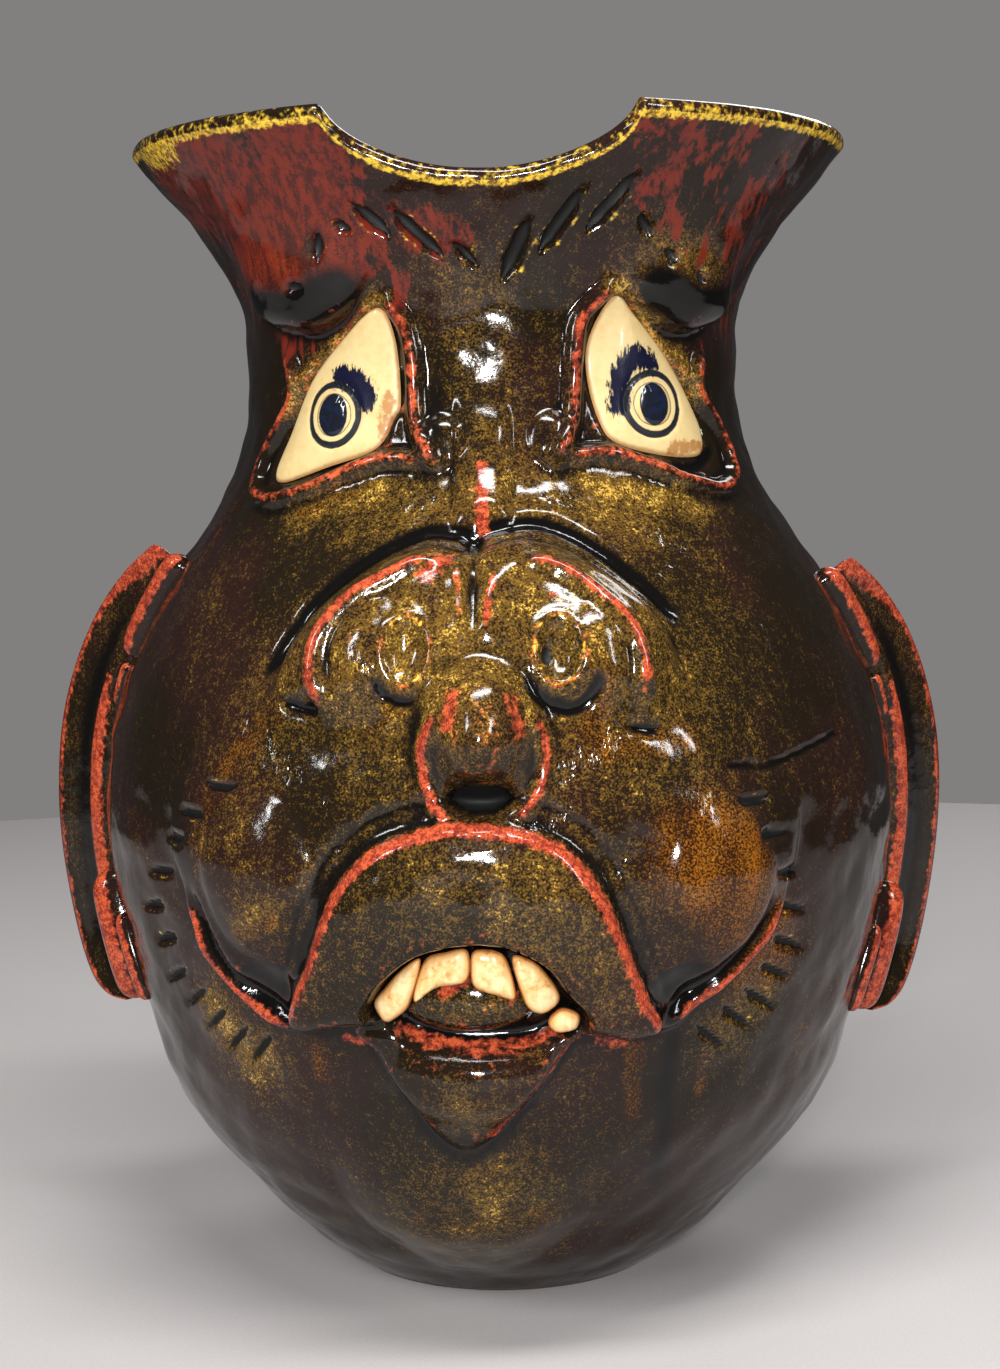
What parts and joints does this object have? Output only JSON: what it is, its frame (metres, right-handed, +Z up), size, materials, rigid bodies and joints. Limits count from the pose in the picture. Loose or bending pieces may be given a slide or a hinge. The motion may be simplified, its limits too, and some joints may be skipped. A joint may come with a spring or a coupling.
{
  "type": "face jug",
  "caption": "Glazed stoneware jug with a grotesque modelled face, luted ears, inset clay eyes and teeth, and a flared rim notched front and back.",
  "frame": {"origin": "middle of the flat underside of the foot, on the axis of the thrown vessel", "axes": "+Z up along the vessel's axis; the face looks towards -Y; +X is the side on the right of someone facing it"},
  "size_m": [0.3148, 0.2896, 0.38],
  "materials": {
    "dark_glaze": "glossy dark iron and ash glaze, olive-black with gold speckle, rust-red over edges",
    "eye_clay": "pale cream clay with a thin clear glaze, dark incised iris",
    "tooth_clay": "pale cream clay stained orange-brown at the edges"
  },
  "bodies": {
    "root": {"jug_body": "dark_glaze", "left_eye": "eye_clay", "right_eye": "eye_clay", "tooth_1": "tooth_clay", "tooth_2": "tooth_clay", "tooth_3": "tooth_clay", "tooth_4": "tooth_clay", "tooth_5": "tooth_clay"}
  },
  "joints": []
}
